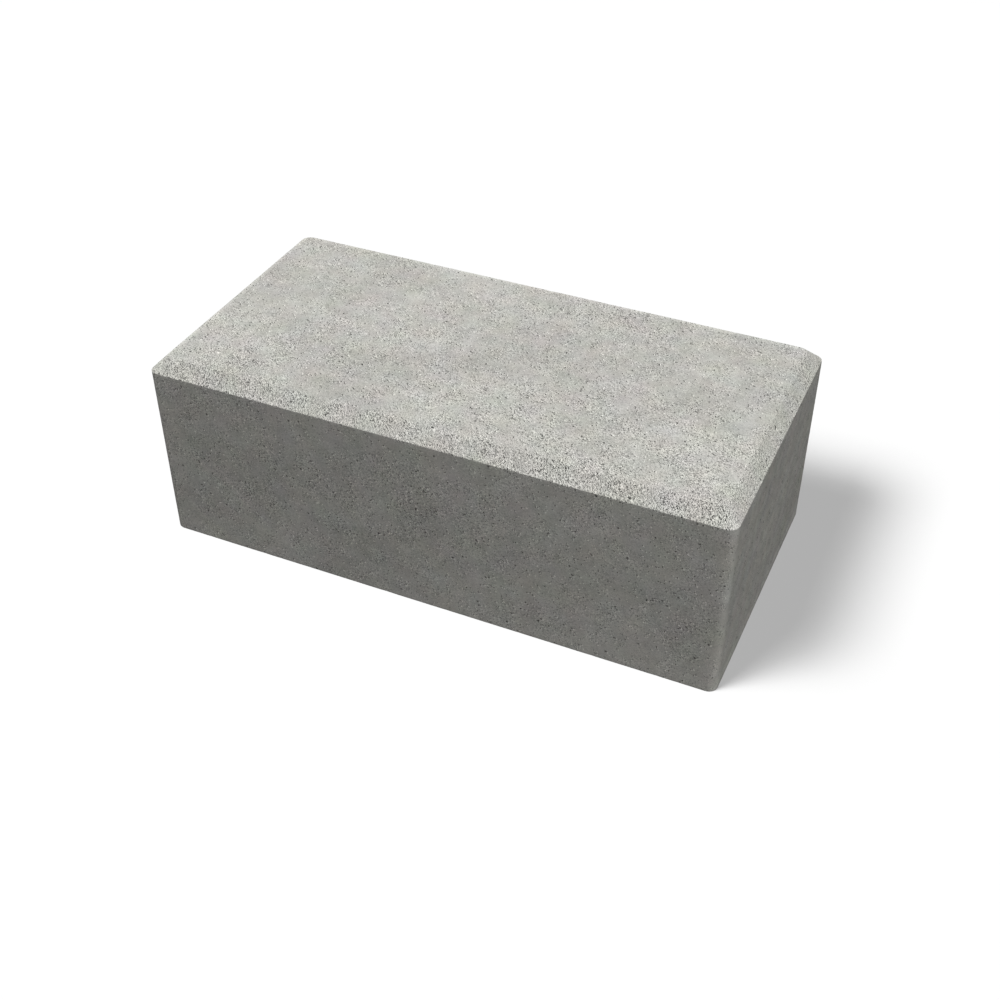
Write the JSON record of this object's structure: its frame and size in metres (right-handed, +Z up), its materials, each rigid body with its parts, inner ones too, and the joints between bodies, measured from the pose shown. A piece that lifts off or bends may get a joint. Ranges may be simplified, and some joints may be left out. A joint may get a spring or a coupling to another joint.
{
  "type": "garden wall block",
  "caption": "Solid concrete block with a chamfered top and rounded upright corners, laid in courses as a low garden or retaining wall.",
  "frame": {"origin": "middle of the underside, the bed face that the block rests on", "axes": "+X along the length of the wall, +Y from the front face to the back, +Z up through the course to the chamfered top face"},
  "size_m": [0.4, 0.2, 0.14],
  "materials": {
    "concrete": "fair-faced pressed concrete, matt and finely pitted, with a sandy grain and soft cloudy mottling"
  },
  "bodies": {
    "root": {"wall_block": "concrete"}
  },
  "joints": []
}
